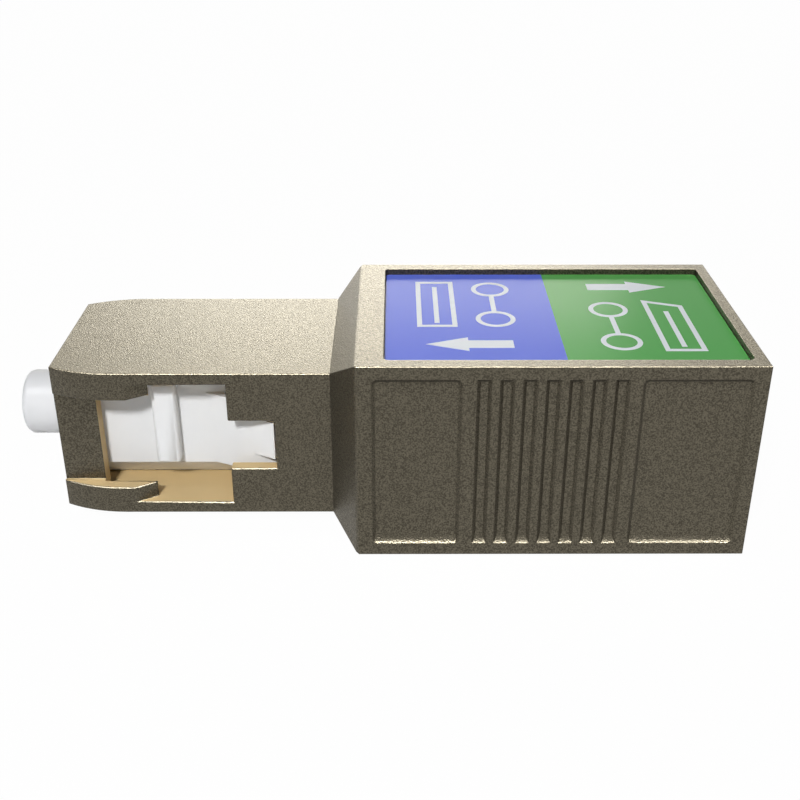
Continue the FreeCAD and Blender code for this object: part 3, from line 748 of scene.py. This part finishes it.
def floor_material(settings):
    """A pale floor that the camera, metal and glass see as nearly white, with a faint shadow on it."""
    material = bpy.data.materials.new("pale_floor")
    material.use_nodes = True
    tree = material.node_tree
    tree.nodes.remove(tree.nodes["Principled BSDF"])
    matt = tree.nodes.new("ShaderNodeBsdfDiffuse")
    matt.inputs["Color"].default_value = (*settings.floor_colour, 1.0)
    white = tree.nodes.new("ShaderNodeEmission")
    path = tree.nodes.new("ShaderNodeLightPath")
    mirrored = tree.nodes.new("ShaderNodeMath")
    mirrored.operation = "MAXIMUM"
    tree.links.new(path.outputs["Is Glossy Ray"], mirrored.inputs[0])
    tree.links.new(path.outputs["Is Transmission Ray"], mirrored.inputs[1])
    seen = tree.nodes.new("ShaderNodeMath")
    seen.operation = "MAXIMUM"
    tree.links.new(path.outputs["Is Camera Ray"], seen.inputs[0])
    tree.links.new(mirrored.outputs["Value"], seen.inputs[1])
    share = tree.nodes.new("ShaderNodeMath")
    share.operation = "MULTIPLY"
    share.inputs[1].default_value = settings.floor_glow
    tree.links.new(seen.outputs["Value"], share.inputs[0])
    blend = tree.nodes.new("ShaderNodeMixShader")
    tree.links.new(share.outputs["Value"], blend.inputs["Fac"])
    tree.links.new(matt.outputs["BSDF"], blend.inputs[1])
    tree.links.new(white.outputs["Emission"], blend.inputs[2])
    tree.links.new(blend.outputs["Shader"], tree.nodes["Material Output"].inputs["Surface"])
    return material


def add_lamp(name, power, colour, size, turn, rise, distance, matt=True, glints=True):
    """A lamp that looks at the adapter from a turn to the right and a rise, both in degrees.

    Without glints it lights matt surfaces only, and without matt it makes glints only.
    """
    lamp = bpy.data.lights.new(name, "AREA")
    lamp.shape = "RECTANGLE"
    lamp.size, lamp.size_y = size
    lamp.energy = power
    lamp.color = colour
    holder = bpy.data.objects.new(name, lamp)
    bpy.context.scene.collection.objects.link(holder)
    swing = Matrix.Rotation(math.radians(turn), 3, "Z") @ Matrix.Rotation(math.radians(-rise), 3, "X")
    place = swing @ Vector((0.0, -distance, 0.0))
    holder.location = LAMP_AIM + place
    holder.visible_diffuse = matt
    holder.visible_glossy = glints
    holder.rotation_euler = place.to_track_quat("Z", "Y").to_euler()


class ADAPTER_OT_set_stage(bpy.types.Operator):
    """Lays the pale floor, hangs the lamps and stands the camera"""

    bl_idname = "adapter.set_stage"
    bl_label = "Set Stage"

    def execute(self, context):
        scene = context.scene
        settings = scene.adapter_stage
        scene.view_settings.view_transform = "Standard"

        shape = bmesh.new()
        bmesh.ops.create_grid(shape, x_segments=1, y_segments=1, size=FLOOR_REACH)
        bmesh.ops.translate(shape, verts=shape.verts, vec=(0.0, 0.0, -FLOOR_GAP))
        mesh = bpy.data.meshes.new("floor")
        shape.to_mesh(mesh)
        shape.free()
        floor = bpy.data.objects.new("floor", mesh)
        scene.collection.objects.link(floor)
        mesh.materials.append(floor_material(settings))

        world = bpy.data.worlds.new("room")
        world.use_nodes = True
        room = world.node_tree.nodes["Background"]
        room.inputs["Color"].default_value = (*WHITE, 1.0)
        room.inputs["Strength"].default_value = settings.room_light
        scene.world = world

        tint = settings.panel_colour
        add_lamp(
            "key_lamp",
            settings.key_power,
            WHITE,
            size=(16 * MM, 16 * MM),
            turn=-15,
            rise=40,
            distance=150 * MM,
            glints=False,
        )
        add_lamp(
            "strip_lamp",
            settings.strip_power,
            WHITE,
            size=(200 * MM, 64 * MM),
            turn=-3,
            rise=62,
            distance=150 * MM,
            matt=False,
        )
        add_lamp(
            "back_panel",
            settings.panel_power,
            tint,
            size=(110 * MM, 90 * MM),
            turn=181.5,
            rise=13,
            distance=200 * MM,
            matt=False,
        )
        add_lamp(
            "wide_panel",
            settings.wide_power,
            tint,
            size=(380 * MM, 100 * MM),
            turn=184,
            rise=13,
            distance=210 * MM,
            matt=False,
        )
        add_lamp(
            "high_panel",
            settings.high_power,
            tint,
            size=(300 * MM, 100 * MM),
            turn=180,
            rise=45,
            distance=210 * MM,
            matt=False,
        )
        add_lamp(
            "fill_panel",
            settings.fill_power,
            WHITE,
            size=(300 * MM, 100 * MM),
            turn=180,
            rise=25,
            distance=210 * MM,
            glints=False,
        )

        camera = bpy.data.cameras.new("camera")
        camera.sensor_fit = "HORIZONTAL"
        camera.sensor_width = SENSOR_WIDTH
        camera.lens = settings.lens
        camera.clip_start = NEAREST
        holder = bpy.data.objects.new("camera", camera)
        scene.collection.objects.link(holder)
        turn = Matrix.Rotation(-settings.camera_turn, 4, "Z")
        tilt = Matrix.Rotation(math.radians(90) - settings.camera_tilt, 4, "X")
        roll = Matrix.Rotation(settings.camera_roll, 4, "Z")
        holder.matrix_world = Matrix.Translation(settings.camera_place) @ turn @ tilt @ roll
        scene.camera = holder
        return {"FINISHED"}


class ADAPTER_PT_panel(bpy.types.Panel):
    """Lists the adapter's steps and settings"""

    bl_label = "Fibre Adapter"
    bl_idname = "ADAPTER_PT_panel"
    bl_space_type = "VIEW_3D"
    bl_region_type = "UI"
    bl_category = "Fibre Adapter"

    def draw(self, context):
        for step in STEPS:
            self.layout.operator(step.bl_idname)
        for name in SETTINGS:
            group = getattr(context.scene, name)
            box = self.layout.box()
            for key in group.__annotations__:
                box.prop(group, key)


SETTINGS = {
    "adapter_plating": PlatingSettings,
    "adapter_label": LabelSettings,
    "adapter_plastic": PlasticSettings,
    "adapter_metal": MetalSettings,
    "adapter_stage": StageSettings,
}
STEPS = (
    ADAPTER_OT_plate_shell,
    ADAPTER_OT_print_label,
    ADAPTER_OT_mould_frame,
    ADAPTER_OT_turn_cap,
    ADAPTER_OT_grind_ferrule,
    ADAPTER_OT_wind_spring,
    ADAPTER_OT_set_stage,
)


def register():
    for group in SETTINGS.values():
        bpy.utils.register_class(group)
    for name, group in SETTINGS.items():
        setattr(bpy.types.Scene, name, PointerProperty(type=group))
    for step in STEPS:
        bpy.utils.register_class(step)
    bpy.utils.register_class(ADAPTER_PT_panel)


def unregister():
    bpy.utils.unregister_class(ADAPTER_PT_panel)
    for step in reversed(STEPS):
        bpy.utils.unregister_class(step)
    for name in SETTINGS:
        delattr(bpy.types.Scene, name)
    for group in reversed(SETTINGS.values()):
        bpy.utils.unregister_class(group)


def main():
    """Registers the add-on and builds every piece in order."""
    register()
    bpy.ops.adapter.plate_shell()
    bpy.ops.adapter.print_label()
    bpy.ops.adapter.mould_frame()
    bpy.ops.adapter.turn_cap()
    bpy.ops.adapter.grind_ferrule()
    bpy.ops.adapter.wind_spring()
    bpy.ops.adapter.set_stage()


if __name__ == "__main__":
    main()
